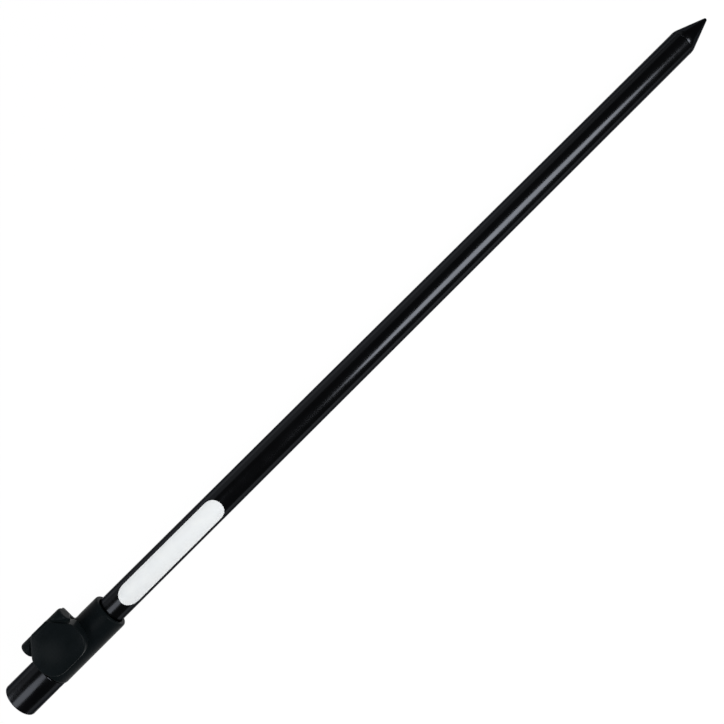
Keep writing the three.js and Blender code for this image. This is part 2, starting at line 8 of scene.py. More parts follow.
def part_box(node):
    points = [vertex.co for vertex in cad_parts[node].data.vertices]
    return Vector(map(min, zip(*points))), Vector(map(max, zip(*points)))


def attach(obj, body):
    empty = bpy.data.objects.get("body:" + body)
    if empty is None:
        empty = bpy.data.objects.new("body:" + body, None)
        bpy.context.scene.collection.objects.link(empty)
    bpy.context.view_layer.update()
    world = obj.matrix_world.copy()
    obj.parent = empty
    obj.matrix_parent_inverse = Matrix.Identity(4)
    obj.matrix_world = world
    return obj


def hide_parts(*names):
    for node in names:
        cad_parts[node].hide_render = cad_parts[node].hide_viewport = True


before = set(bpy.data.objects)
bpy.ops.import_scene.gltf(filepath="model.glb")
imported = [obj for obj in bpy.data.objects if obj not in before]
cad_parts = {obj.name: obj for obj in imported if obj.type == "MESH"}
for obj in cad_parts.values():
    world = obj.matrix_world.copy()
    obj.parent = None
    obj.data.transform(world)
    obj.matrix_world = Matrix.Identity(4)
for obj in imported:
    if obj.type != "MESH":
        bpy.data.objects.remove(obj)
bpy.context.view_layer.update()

# Outer tube: the stick's body, drawn aluminium tube with a thin wall, polished and anodised black.
# Sawn square; the collar is screwed to it from below and the ground point is pressed into it.
# Places are in millimetres from the middle of the head's end face: X along the stick, Y out to the
# lugs, Z up. on_stick puts that point where the frame's head is, and makes the millimetres metres.
head_low, head_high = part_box("head_cap")
head_middle = (head_low + head_high) / 2
on_stick = Matrix.Translation((head_low.x, head_middle.y, head_middle.z)) @ Matrix.Scale(0.001, 4)


def turned(outline, sweep=math.tau, steps=128):
    """Spins an outline of (along, radius, rounding) corners round the axis.

    It makes a ring, or a rod if the outline starts on the axis.
    """
    rounding_steps, same_point = 5, 0.0005
    shape = bmesh.new()
    corners = [shape.verts.new((along, 0, radius)) for along, radius, rounding in outline]
    for one, other in zip(corners, corners[1:]):
        shape.edges.new((one, other))
    if outline[0][1] > 0:
        shape.edges.new((corners[-1], corners[0]))
    for corner, (along, radius, rounding) in zip(corners, outline):
        if rounding:
            bmesh.ops.bevel(shape, geom=[corner], affect="VERTICES", offset=rounding,
                            segments=rounding_steps, profile=0.5, material=-1)
    whole = sweep == math.tau
    if not whole:
        bmesh.ops.contextual_create(shape, geom=shape.edges[:])
    bmesh.ops.spin(shape, geom=shape.verts[:] + shape.edges[:] + shape.faces[:], cent=(0, 0, 0),
                   axis=(1, 0, 0), dvec=(0, 0, 0), angle=sweep, steps=steps, use_merge=whole)
    bmesh.ops.remove_doubles(shape, verts=shape.verts[:], dist=same_point)
    bmesh.ops.recalc_face_normals(shape, faces=shape.faces[:])
    return shape


def rod_between(start, end, radius, segments=64):
    """A plain rod from one point to another, for pins and drilled holes."""
    start, end = Vector(start), Vector(end)
    turn = (end - start).to_track_quat("Z", "Y").to_matrix().to_4x4()
    shape = bmesh.new()
    bmesh.ops.create_cone(shape, cap_ends=True, segments=segments, radius1=radius, radius2=radius,
                          depth=(end - start).length, matrix=Matrix.Translation((start + end) / 2) @ turn)
    return shape


def loose_object(shape):
    """An object that holds a shape while modifiers work on it."""
    mesh = bpy.data.meshes.new("loose")
    shape.to_mesh(mesh)
    shape.free()
    loose = bpy.data.objects.new("loose", mesh)
    bpy.context.scene.collection.objects.link(loose)
    return loose


def shaped(shape, changes, moulded=0.0, softening=0):
    """Joins, trims or cuts a solid with others, in order.

    A moulded one is then skinned afresh in cubes of that size, with its edges softened.
    """
    body = loose_object(shape)
    tools = []
    for operation, tool in changes:
        tools.append(loose_object(tool))
        change = body.modifiers.new("change", "BOOLEAN")
        change.operation, change.object, change.solver = operation, tools[-1], "MANIFOLD"
    if moulded:
        skin = body.modifiers.new("skin", "REMESH")
        skin.mode, skin.voxel_size, skin.adaptivity = "VOXEL", moulded, 0
        soft = body.modifiers.new("soft", "SMOOTH")
        soft.factor, soft.iterations = 0.5, softening
    bpy.context.view_layer.update()
    result = bmesh.new()
    result.from_object(body, bpy.context.evaluated_depsgraph_get())
    for loose in [body, *tools]:
        mesh = loose.data
        bpy.data.objects.remove(loose)
        bpy.data.meshes.remove(mesh)
    return result


def fitted(name, shape, material, body, place=on_stick, crease=30):
    """Puts a finished shape on the stick: its material, the body it moves with and its CAD node."""
    bmesh.ops.transform(shape, matrix=place, verts=shape.verts[:])
    mesh = bpy.data.meshes.new(name + "_finished")
    shape.to_mesh(mesh)
    shape.free()
    mesh.shade_smooth()
    if crease:
        mesh.set_sharp_from_angle(angle=math.radians(crease))
    mesh.materials.append(material)
    piece = bpy.data.objects.new(name + "_finished", mesh)
    bpy.context.scene.collection.objects.link(piece)
    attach(piece, body)
    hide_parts(name)


def linear(code):
    """An sRGB hex colour as linear red, green, blue and alpha."""
    parts = [int(code[i:i + 2], 16) / 255 for i in (1, 3, 5)]
    return [p / 12.92 if p <= 0.04045 else ((p + 0.055) / 1.055) ** 2.4 for p in parts] + [1]


def add(material, kind, inputs=None, **settings):
    """Adds a node to a material. An input is a constant, or another node's output to link."""
    node = material.node_tree.nodes.new(kind)
    for name, value in settings.items():
        setattr(node, name, value)
    for name, value in (inputs or {}).items():
        if isinstance(value, bpy.types.NodeSocket):
            material.node_tree.links.new(value, node.inputs[name])
        else:
            node.inputs[name].default_value = value
    return node


def blank_material(name):
    """A new material with no nodes."""
    material = bpy.data.materials.new(name)
    material.use_nodes = True
    material.node_tree.nodes.clear()
    return material


# Bright-anodised aluminium tube: a clear deep black with sharp highlights. Drawing left fine lines
# along it, 0.05 mm apart, drawn here 0.3 mm apart so that they show, and handling left faint haze.
# The dyed layer over the metal dulls its reflections at the edges, so they are tinted grey there.
line_length, line_spacing, haze_size = 0.04, 0.0003, 0.012
anodised_tube = blank_material("bright_anodised_aluminium_tube")
place = add(anodised_tube, "ShaderNodeTexCoord")
stretch = add(anodised_tube, "ShaderNodeMapping", {
    "Vector": place.outputs["Object"], "Scale": (1 / line_length, 1 / line_spacing, 1 / line_spacing)})
lines = add(anodised_tube, "ShaderNodeTexNoise", {
    "Vector": stretch.outputs["Vector"], "Scale": 1, "Detail": 2})
haze = add(anodised_tube, "ShaderNodeTexNoise", {
    "Vector": place.outputs["Object"], "Scale": 1 / haze_size, "Detail": 4, "Roughness": 0.6})
polish = add(anodised_tube, "ShaderNodeMapRange", {
    "Value": haze.outputs["Fac"], "From Min": 0.35, "From Max": 0.7, "To Min": 0.17, "To Max": 0.23})
tone = add(anodised_tube, "ShaderNodeMix", {
    "Factor": lines.outputs["Fac"], 6: linear("#262729"), 7: linear("#2c2d30")}, data_type="RGBA")
relief = add(anodised_tube, "ShaderNodeBump", {
    "Height": lines.outputs["Fac"], "Distance": 0.00000025, "Strength": 1})
shader = add(anodised_tube, "ShaderNodeBsdfPrincipled", {
    "Base Color": tone.outputs[2], "Roughness": polish.outputs["Result"], "Normal": relief.outputs["Normal"],
    "Metallic": 1, "Specular Tint": linear("#aaaaaa")})
add(anodised_tube, "ShaderNodeOutputMaterial", {"Surface": shader.outputs["BSDF"]})

tube_radius, tube_bore = 8.0, 7.0
tube_start, tube_end, edge_break = 55.5, 517.3, 0.15
screw_x, screw_hole = 60.8, 1.5
tube = shaped(
    turned([(tube_start, tube_bore, edge_break), (tube_end, tube_bore, edge_break),
            (tube_end, tube_radius, edge_break), (tube_start, tube_radius, edge_break)]),
    [("DIFFERENCE", rod_between((screw_x, 0, -10), (screw_x, 0, 0), screw_hole, 32))])
fitted("outer_tube", tube, anodised_tube, "stick")

# Ground point: a solid bar of aluminium turned to a long cone with a soft shoulder and a blunt
# tip, anodised with the tube and pressed into its end by a spigot that doesn't show.
# Turned and polished aluminium under black anodising: as the tube, with the tool's rings round
# it instead of lines along it. Rings 0.1 mm apart in the real one are drawn 0.69 mm apart, and the
# wave pattern turns 20 radians in a unit of its scale.
ring_scale, haze_size = 1 / 0.00035 / math.tau, 0.006
anodised_bar = blank_material("turned_anodised_aluminium_bar")
place = add(anodised_bar, "ShaderNodeTexCoord")
rings = add(anodised_bar, "ShaderNodeTexWave", {
    "Vector": place.outputs["Object"], "Scale": ring_scale, "Distortion": 0.6, "Detail": 2,
    "Detail Scale": 3}, wave_type="BANDS", bands_direction="X")
haze = add(anodised_bar, "ShaderNodeTexNoise", {
    "Vector": place.outputs["Object"], "Scale": 1 / haze_size, "Detail": 4, "Roughness": 0.6})
polish = add(anodised_bar, "ShaderNodeMapRange", {
    "Value": haze.outputs["Fac"], "From Min": 0.35, "From Max": 0.7, "To Min": 0.18, "To Max": 0.25})
tone = add(anodised_bar, "ShaderNodeMix", {
    "Factor": haze.outputs["Fac"], 6: linear("#262729"), 7: linear("#2c2d30")}, data_type="RGBA")
relief = add(anodised_bar, "ShaderNodeBump", {
    "Height": rings.outputs["Fac"], "Distance": 0.0000006, "Strength": 1})
shader = add(anodised_bar, "ShaderNodeBsdfPrincipled", {
    "Base Color": tone.outputs[2], "Roughness": polish.outputs["Result"], "Normal": relief.outputs["Normal"],
    "Metallic": 1, "Specular Tint": linear("#aaaaaa")})
add(anodised_bar, "ShaderNodeOutputMaterial", {"Surface": shader.outputs["BSDF"]})

spigot_start, spigot_radius = 493.3, 6.9
shoulder, cone_start, tip_start, tip = 517.5, 519.82, 536.9, 540
point = turned([
    (spigot_start, 0, 0), (spigot_start, spigot_radius, 0.8), (shoulder, spigot_radius, 0),
    (shoulder, tube_radius, edge_break), (cone_start, tube_radius, 1.2), (tip_start, 1.9, 0),
    (tip, 0.8, 0.9), (tip, 0, 0)])
fitted("ground_point", point, anodised_bar, "stick")

# Label: a strip of white plastic film with round ends, die-cut and stuck part way round the
# tube just past the collar. It is turned 7 degrees from the top, away from the lugs.
# Polypropylene film: bright white with a soft sheen, and a faint waviness from the adhesive, 6 mm across.
wave_size = 0.006
film = blank_material("white_polypropylene_film")
place = add(film, "ShaderNodeTexCoord")
glue = add(film, "ShaderNodeTexNoise", {
    "Vector": place.outputs["Object"], "Scale": 1 / wave_size, "Detail": 2})
tone = add(film, "ShaderNodeMix", {
    "Factor": glue.outputs["Fac"], 6: linear("#d9dbdc"), 7: linear("#e4e4e2")}, data_type="RGBA")
relief = add(film, "ShaderNodeBump", {"Height": glue.outputs["Fac"], "Distance": 0.00002, "Strength": 0.4})
shader = add(film, "ShaderNodeBsdfPrincipled", {
    "Base Color": tone.outputs[2], "Normal": relief.outputs["Normal"], "Roughness": 0.4, "IOR": 1.49,
    "Specular IOR Level": 0.3})
add(film, "ShaderNodeOutputMaterial", {"Surface": shader.outputs["BSDF"]})

label_start, label_length, label_width = 74.9, 73.0, 13.4
label_under, label_thickness, label_turn, label_strips = 8.05, 0.13, 7, 28
label = bmesh.new()
for along, across in ((0, -1), (1, -1), (1, 1), (0, 1)):
    label.verts.new((label_start + along * label_length, across * label_width / 2, 0))
label.faces.new(label.verts[:])
bmesh.ops.bevel(label, geom=label.verts[:], affect="VERTICES", offset=label_width / 2 - 0.01, segments=24,
                profile=0.5, material=-1)
for strip in range(1, label_strips):
    bmesh.ops.bisect_plane(label, geom=label.verts[:] + label.edges[:] + label.faces[:],
                           plane_co=(0, label_width * (strip / label_strips - 0.5), 0), plane_no=(0, 1, 0))
for vertex in label.verts:
    turn = vertex.co.y / (label_under + label_thickness) - math.radians(label_turn)
    vertex.co.y, vertex.co.z = label_under * math.sin(turn), label_under * math.cos(turn)
bmesh.ops.recalc_face_normals(label, faces=label.faces[:])
bmesh.ops.solidify(label, geom=label.faces[:], thickness=-label_thickness)
bmesh.ops.recalc_face_normals(label, faces=label.faces[:])
fitted("label", label, film, "stick")

# Clamp collar: one moulding with a sleeve round both tubes, a slit along its lug side and two lugs
# that the tie pulls together. The lower lug has a flat underside, with a pocket for the nut.
# Glass-filled nylon, spark-eroded mould: a soft satin black. The mould's grain of 0.1 mm is drawn
# 0.4 mm across, and the glass near the skin leaves slightly greyer, duller patches.
# Nylon's own IOR of 1.53 is lowered here, so that its edges reflect less of the white board.
grain_size, patch_size = 0.0004, 0.004
nylon = blank_material("moulded_glass_filled_nylon_black")
place = add(nylon, "ShaderNodeTexCoord")
grain = add(nylon, "ShaderNodeTexNoise", {
    "Vector": place.outputs["Object"], "Scale": 1 / grain_size, "Detail": 3, "Roughness": 0.6})
patches = add(nylon, "ShaderNodeTexNoise", {
    "Vector": place.outputs["Object"], "Scale": 1 / patch_size, "Detail": 3})
tone = add(nylon, "ShaderNodeMix", {
    "Factor": patches.outputs["Fac"], 6: linear("#0b0f10"), 7: linear("#101416")}, data_type="RGBA")
polish = add(nylon, "ShaderNodeMapRange", {
    "Value": patches.outputs["Fac"], "From Min": 0.3, "From Max": 0.7, "To Min": 0.29, "To Max": 0.37})
relief = add(nylon, "ShaderNodeBump", {"Height": grain.outputs["Fac"], "Distance": 0.00003, "Strength": 0.6})
shader = add(nylon, "ShaderNodeBsdfPrincipled", {
    "Base Color": tone.outputs[2], "Roughness": polish.outputs["Result"], "Normal": relief.outputs["Normal"],
    "IOR": 1.09})
add(nylon, "ShaderNodeOutputMaterial", {"Surface": shader.outputs["BSDF"]})


def block(low, high):
    """A box from its lowest corner to its highest."""
    low, high = Vector(low), Vector(high)
    shape = bmesh.new()
    middle, spans = (low + high) / 2, high - low
    bmesh.ops.create_cube(shape, size=1, matrix=Matrix.Translation(middle) @ Matrix.Diagonal((*spans, 1)))
    return shape


def drawn_out(corners, way, rounds=10):
    """A flat outline of (x, y, z, rounding) corners, drawn out along a vector."""
    shape = bmesh.new()
    for x, y, z, rounding in corners:
        shape.verts.new((x, y, z))
    starts = shape.verts[:]
    shape.faces.new(starts)
    for corner, (x, y, z, rounding) in zip(starts, corners):
        if rounding:
            bmesh.ops.bevel(shape, geom=[corner], affect="VERTICES", offset=rounding, segments=rounds,
                            profile=0.5, material=-1)
    made = bmesh.ops.extrude_face_region(shape, geom=shape.faces[:])["geom"]
    bmesh.ops.translate(shape, vec=way, verts=[part for part in made if isinstance(part, bmesh.types.BMVert)])
    bmesh.ops.recalc_face_normals(shape, faces=shape.faces[:])
    return shape


collar_radius, collar_start, collar_end = 10.6, 22.9, 65.8
clamp_x, pivot_y, pivot_z = 39.0, 15.6, 13.0
lug_half, lug_reach, lug_top, lug_fillet = 9.0, 19.6, 6.5, 2.5
slit_half, slit_end, slit_hole = 0.7, 52.0, 1.2
lug_plan = [
    (clamp_x + lug_half + lug_fillet, 0, 0), (clamp_x + lug_half + lug_fillet, collar_radius - 0.1, 0),
    (clamp_x + lug_half, collar_radius - 0.1, lug_fillet), (clamp_x + lug_half, lug_reach, 1.4),
    (clamp_x - lug_half, lug_reach, 1.4), (clamp_x - lug_half, collar_radius - 0.1, lug_fillet),
    (clamp_x - lug_half - lug_fillet, collar_radius - 0.1, 0), (clamp_x - lug_half - lug_fillet, 0, 0)]
lugs = drawn_out([(x, y, -collar_radius, rounding) for x, y, rounding in lug_plan],
                 (0, 0, collar_radius + lug_top))
lug_section = [(0, -collar_radius, 0), (lug_reach, -collar_radius, 1.4),
               (lug_reach, lug_top, 1.4), (0, lug_top, 0)]
foot_half, lug_wide = 5.2, 11.5
lug_front = [(foot_half, -collar_radius), (lug_wide, 1), (lug_wide, lug_top),
             (-lug_wide, lug_top), (-lug_wide, 1), (-foot_half, -collar_radius)]
lugs = shaped(lugs, [
    ("INTERSECT", drawn_out([(clamp_x - 14, y, z, rounding) for y, z, rounding in lug_section], (28, 0, 0))),
    ("INTERSECT", drawn_out([(clamp_x + x, -1, z, 0) for x, z in lug_front], (0, 24, 0)))])
sleeve = turned([(collar_start, 0, 0), (collar_start, collar_radius, 0.8),
                 (collar_end, collar_radius, 1.0), (collar_end, 0, 0)])
# The nut's pocket and the bushes' seats are cut 0.15 to 0.25 mm too deep, since the soft skin fills
# their corners. Cuts start or end clear of the collar, at these places along it.
before, past = 20, 70
bush_seat, flange_seat, tube_seat = 7.1, 8.7, 8.1
flange_seat_end, tube_seat_start = 24.75, 54.05
tie_hole, pocket_low, pocket_rise, pocket_corner = 2.3, -13, 7.65, 4.272
screw_head_hole, screw_head_seat = 2.7, -8.6
pocket = []
for i in range(6):
    turn = math.radians(60 * i)
    pocket.append((clamp_x + pocket_corner * math.cos(turn), pivot_y + pocket_corner * math.sin(turn),
                   pocket_low, 0))
collar = shaped(sleeve, [
    ("UNION", lugs),
    ("DIFFERENCE", rod_between((before, 0, 0), (past, 0, 0), bush_seat, 128)),
    ("DIFFERENCE", rod_between((before, 0, 0), (flange_seat_end, 0, 0), flange_seat, 128)),
    ("DIFFERENCE", rod_between((tube_seat_start, 0, 0), (past, 0, 0), tube_seat, 128)),
    ("DIFFERENCE", block((before, 0, -slit_half), (slit_end, 25, slit_half))),
    ("DIFFERENCE", rod_between((slit_end, 1, 0), (slit_end, 14, 0), slit_hole)),
    ("DIFFERENCE", rod_between((clamp_x, pivot_y, -15), (clamp_x, pivot_y, 15), tie_hole)),
    ("DIFFERENCE", drawn_out(pocket, (0, 0, pocket_rise))),
    ("DIFFERENCE", rod_between((screw_x, 0, -15), (screw_x, 0, 0), screw_hole)),
    ("DIFFERENCE", rod_between((screw_x, 0, -15), (screw_x, 0, screw_head_seat), screw_head_hole))],
    moulded=0.3, softening=12)
fitted("clamp_collar", collar, nylon, "stick", crease=0)

# Clamp bush: a split liner that the collar squeezes on the rod, with a flange in the collar's mouth.
# Acetal, moulded: an ivory white plastic with a waxy sheen and light going a little way in. The
# flow of the plastic left faint clouds 3 mm across.
flow_size = 0.003
acetal_white = blank_material("moulded_acetal_white")
place = add(acetal_white, "ShaderNodeTexCoord")
flow = add(acetal_white, "ShaderNodeTexNoise", {
    "Vector": place.outputs["Object"], "Scale": 1 / flow_size, "Detail": 3})
tone = add(acetal_white, "ShaderNodeMix", {
    "Factor": flow.outputs["Fac"], 6: linear("#cfccc2"), 7: linear("#dedbd1")}, data_type="RGBA")
relief = add(acetal_white, "ShaderNodeBump", {
    "Height": flow.outputs["Fac"], "Distance": 0.00001, "Strength": 0.4})
shader = add(acetal_white, "ShaderNodeBsdfPrincipled", {
    "Base Color": tone.outputs[2], "Normal": relief.outputs["Normal"], "Roughness": 0.38, "IOR": 1.48,
    "Subsurface Weight": 0.15, "Subsurface Scale": 0.001})
add(acetal_white, "ShaderNodeOutputMaterial", {"Surface": shader.outputs["BSDF"]})

bush_bore, bush_radius, bush_flange = 6.15, 7.0, 8.6
bush_start, flange_end, bush_end = 23.1, 24.3, 54.3
split = 2 * math.asin(slit_half / bush_radius)
bush = turned([
    (bush_start, bush_bore, 0.3), (bush_end, bush_bore, 0.3), (bush_end, bush_radius, 0.3),
    (flange_end, bush_radius, 0), (flange_end, bush_flange, 0.2), (bush_start, bush_flange, 0.3)],
    sweep=math.tau - split, steps=120)
bmesh.ops.rotate(bush, cent=(0, 0, 0), matrix=Matrix.Rotation(-math.pi / 2 + split / 2, 3, "X"),
                 verts=bush.verts[:])
fitted("clamp_bush", bush, acetal_white, "stick")

# Guide bush: a top-hat bush in the tube's mouth. Its flange is held between the collar's shoulder
# and the tube's end, and it guides the rod. The same acetal as the clamp bush.
guide_radius, guide_flange = 6.9, 7.9
guide_start, guide_flange_end, guide_end = 54.5, 55.3, 66.5
guide = turned([
    (guide_start, bush_bore, 0.3), (guide_end, bush_bore, 0.3), (guide_end, guide_radius, 0.3),
    (guide_flange_end, guide_radius, 0), (guide_flange_end, guide_flange, 0.1),
    (guide_start, guide_flange, 0.1)])
fitted("guide_bush", guide, acetal_white, "stick")

# Collar screw: a slotted screw driven up through the collar into the tube, so that the collar can't
# turn on it. Its head is sunk in a round seat, and its tip stays clear of the guide bush.
# Stainless steel, turned or stamped and then tumbled: bright metal, finely mottled by marks of 0.1 mm,
# which are drawn 0.5 mm across.
mark_size = 0.0005
steel = blank_material("stainless_steel_turned")
place = add(steel, "ShaderNodeTexCoord")
marks = add(steel, "ShaderNodeTexNoise", {
    "Vector": place.outputs["Object"], "Scale": 1 / mark_size, "Detail": 4, "Roughness": 0.6})
tone = add(steel, "ShaderNodeMix", {
    "Factor": marks.outputs["Fac"], 6: linear("#8e9194"), 7: linear("#c3c5c7")}, data_type="RGBA")
polish = add(steel, "ShaderNodeMapRange", {
    "Value": marks.outputs["Fac"], "From Min": 0.3, "From Max": 0.7, "To Min": 0.22, "To Max": 0.38})
relief = add(steel, "ShaderNodeBump", {"Height": marks.outputs["Fac"], "Distance": 0.000004, "Strength": 0.5})
shader = add(steel, "ShaderNodeBsdfPrincipled", {
    "Base Color": tone.outputs[2], "Roughness": polish.outputs["Result"], "Normal": relief.outputs["Normal"],
    "Metallic": 1})
add(steel, "ShaderNodeOutputMaterial", {"Surface": shader.outputs["BSDF"]})

screw_face, screw_under_head, screw_tip = 10.1, 8.7, 7.1
screw_head_radius, screw_radius, screw_slot_floor, screw_slot_half = 2.6, 1.4, 9.4, 0.4
screw = turned([
    (screw_face, 0, 0), (screw_face, screw_head_radius, 0.5), (screw_under_head, screw_head_radius, 0.15),
    (screw_under_head, screw_radius, 0), (screw_tip, screw_radius, 0.3), (screw_tip, 0, 0)], steps=48)
screw = shaped(screw, [
    ("DIFFERENCE", block((screw_slot_floor, -3, -screw_slot_half), (11, 3, screw_slot_half)))])
# A piece that stands upright is made along X, which this turn points down.
upright = Matrix.Rotation(math.pi / 2, 4, "Y")
fitted("collar_screw", screw, steel, "stick",
       place=on_stick @ Matrix.Translation((screw_x, 0, 0)) @ upright)

# Cam saddle: a flat steel plate on the upper lug that takes the cam's rubbing. Stamped, with
# rounded corners and edges, and a hole for the tie.
saddle_low, saddle_height, saddle_reach = 6.6, 1, 4
rim_angle, rim_break = 1.2, 0.15
saddle = drawn_out([
    (clamp_x + x * lug_half, pivot_y + y * saddle_reach, saddle_low, 1.0)
    for x, y in ((-1, -1), (1, -1), (1, 1), (-1, 1))], (0, 0, saddle_height), rounds=5)
rims = [edge for edge in saddle.edges if len(edge.link_faces) == 2 and edge.calc_face_angle() > rim_angle]
bmesh.ops.bevel(saddle, geom=rims, affect="EDGES", offset=rim_break, segments=2, profile=0.5, material=-1)
saddle = shaped(saddle, [
    ("DIFFERENCE", rod_between((clamp_x, pivot_y, 0), (clamp_x, pivot_y, 12), tie_hole))])
fitted("cam_saddle", saddle, steel, "stick")

# Draw bolt: a steel stud, threaded all along, screwed into the lever's barrel and passed down
# through both lugs to the nut. The thread's real pitch of 0.7 mm is kept.
bolt_low, bolt_high, bolt_root, bolt_radius, bolt_pitch = -9.6, 14.5, 1.6, 1.95, 0.7


def thread(start, end, root, crest, pitch, segments=40):
    """A helical ridge round the axis, from start to end along it, from the root's radius to the crest's."""
    shape = bmesh.new()
    base, top, sunk = 0.46 * pitch, 0.1 * pitch, (root - crest) * 0.2
    shape.faces.new([shape.verts.new((x, 0, radius)) for x, radius in (
        (start, root + sunk), (start + 2 * base, root + sunk),
        (start + base + top, crest), (start + base - top, crest))])
    turns = (end - start - 2 * base) / pitch
    steps = round(segments * turns)
    bmesh.ops.spin(shape, geom=shape.verts[:] + shape.edges[:] + shape.faces[:], cent=(0, 0, 0),
                   axis=(1, 0, 0), dvec=(turns * pitch / steps, 0, 0), angle=math.tau * turns, steps=steps)
    bmesh.ops.recalc_face_normals(shape, faces=shape.faces[:])
    return shape


def joined(shape, other):
    """Puts two shapes in one mesh."""
    mesh = bpy.data.meshes.new("joined")
    other.to_mesh(mesh)
    other.free()
    shape.from_mesh(mesh)
    bpy.data.meshes.remove(mesh)
    return shape


bolt = joined(
    turned([(-bolt_high, 0, 0), (-bolt_high, bolt_root, 0.3),
            (-bolt_low, bolt_root, 0.3), (-bolt_low, 0, 0)], steps=48),
    thread(-bolt_high + 0.3, -bolt_low - 0.3, bolt_root, bolt_radius, bolt_pitch))
fitted("draw_bolt", bolt, steel, "tie",
       place=on_stick @ Matrix.Translation((clamp_x, pivot_y, 0)) @ upright, crease=40)

# Lever pin: a brass barrel across the lever, tapped at its middle for the stud. The lever turns on
# it. It goes in from the head's side, and the lever covers its other end.
# Free-cutting brass, turned from bar: warm yellow metal, mottled by a slightly dulled skin. The
# marks of 0.1 mm are drawn 0.6 mm across.
mark_size = 0.0006
brass = blank_material("turned_brass")
place = add(brass, "ShaderNodeTexCoord")
marks = add(brass, "ShaderNodeTexNoise", {
    "Vector": place.outputs["Object"], "Scale": 1 / mark_size, "Detail": 4, "Roughness": 0.6})
tone = add(brass, "ShaderNodeMix", {
    "Factor": marks.outputs["Fac"], 6: linear("#9a7a35"), 7: linear("#c9a455")}, data_type="RGBA")
polish = add(brass, "ShaderNodeMapRange", {
    "Value": marks.outputs["Fac"], "From Min": 0.3, "From Max": 0.7, "To Min": 0.24, "To Max": 0.38})
relief = add(brass, "ShaderNodeBump", {"Height": marks.outputs["Fac"], "Distance": 0.000004, "Strength": 0.5})
shader = add(brass, "ShaderNodeBsdfPrincipled", {
    "Base Color": tone.outputs[2], "Roughness": polish.outputs["Result"], "Normal": relief.outputs["Normal"],
    "Metallic": 1})
add(brass, "ShaderNodeOutputMaterial", {"Surface": shader.outputs["BSDF"]})

barrel_start, barrel_end, barrel_radius, tapped_hole = -12.9, 12.2, 2.5, 2.05
barrel = shaped(
    turned([(barrel_start, 0, 0), (barrel_start, barrel_radius, 0.4),
            (barrel_end, barrel_radius, 0.4), (barrel_end, 0, 0)], steps=64),
    [("DIFFERENCE", rod_between((0, 0, -5), (0, 0, 5), tapped_hole, 48))])
fitted("lever_pin", barrel, brass, "tie",
       place=on_stick @ Matrix.Translation((clamp_x, pivot_y, pivot_z)))

# Washer and adjuster nut: a plain washer and a chamfered hexagon nut, both stainless steel. The lower
# lug's pocket keeps the nut from turning, and turning the stud in it sets how hard the lever clamps.
washer_top, washer_low, washer_radius = 5.7, 6.2, 3.5
washer = turned([(washer_top, tapped_hole, 0.08), (washer_low, tapped_hole, 0.08),
                 (washer_low, washer_radius, 0.12), (washer_top, washer_radius, 0.12)], steps=64)
fitted("nut_washer", washer, steel, "tie",
       place=on_stick @ Matrix.Translation((clamp_x, pivot_y, 0)) @ upright)
nut_top, nut_low, nut_flats, nut_chamfer = 6.4, 9.6, 7, 0.4
nut = rod_between((-nut_low, 0, 0), (-nut_top, 0, 0), nut_flats / math.sqrt(3), 6)
bmesh.ops.transform(nut, matrix=Matrix.Scale(-1, 4, (1, 0, 0)), verts=nut.verts[:])
bmesh.ops.recalc_face_normals(nut, faces=nut.faces[:])
nut = shaped(nut, [
    ("INTERSECT", turned([
        (nut_top, 0, 0), (nut_top, nut_flats / 2, 0), (nut_top + nut_chamfer, 4.2, 0),
        (nut_low - nut_chamfer, 4.2, 0), (nut_low, nut_flats / 2, 0), (nut_low, 0, 0)], steps=96)),
    ("DIFFERENCE", rod_between((0, 0, 0), (12, 0, 0), tapped_hole, 48))])
fitted("adjuster_nut", nut, steel, "tie",
       place=on_stick @ Matrix.Translation((clamp_x, pivot_y, 0)) @ upright, crease=25)

# Cam lever: one hollow moulding, with a domed paddle over the collar, a neck and a cam bar that
# turns on the barrel. Closed, the paddle's tip stands clear of the collar so that a finger can lift it.
# Its places are measured from the barrel's middle.
cam_closed, cam_travel, cam_swing, cam_lead = 5.2, 0.8, math.pi / 2, -math.pi / 12
cam_open, cam_slope = cam_closed - cam_travel, cam_travel / cam_swing
lever_half, belly, tip_y, dome_y = 13.5, 13.8, -21.6, -10.1
paddle_under, paddle_top, dome_radius = -4.6, 7.4, 36.0
crest = cam_open + 0.7

cam_edge = []
for i in range(25):
    swing = cam_lead + (cam_swing - cam_lead) * i / 24
    reach = cam_closed - cam_slope * swing
    cam_edge.append((reach * math.sin(swing) - cam_slope * math.cos(swing),
                     -reach * math.cos(swing) - cam_slope * math.sin(swing)))
cam_back = [(cam_open * math.cos(math.radians(turn)), cam_open * math.sin(math.radians(turn)))
            for turn in range(10, 200, 8)]
bar = drawn_out([(-lever_half, y, z, 0) for y, z in cam_edge + cam_back], (2 * lever_half, 0, 0))
bmesh.ops.bevel(bar, geom=[edge for edge in bar.edges if abs(edge.verts[0].co.x - edge.verts[1].co.x) < 0.01],
                affect="EDGES", offset=1.3, segments=4, profile=0.5, material=-1)

lever_plan = [(-5, cam_open, 0), (-lever_half, -6, 1.5), (-belly, dome_y, 2), (-belly, tip_y, 9),
              (belly, tip_y, 9), (belly, dome_y, 2), (lever_half, -6, 1.5), (5, cam_open, 0)]
sphere = bmesh.new()
bmesh.ops.create_uvsphere(sphere, u_segments=192, v_segments=128, radius=dome_radius,
                          matrix=Matrix.Translation((0, dome_y, paddle_top - dome_radius)))
paddle = drawn_out([(x, y, paddle_under, rounding) for x, y, rounding in lever_plan],
                   (0, 0, paddle_top - paddle_under))
paddle = shaped(paddle, [
    ("INTERSECT", sphere),
    ("DIFFERENCE", block((-20, 0, -20), (20, 20, 0))),
    ("DIFFERENCE", block((-20, cam_open - 2, -20), (20, 20, 20)))])
fall = math.atan2(paddle_top - crest, -dome_y)
ridge = rod_between((0, -60, 60 * math.tan(fall)), (0, 60, -60 * math.tan(fall)), dome_radius, 192)
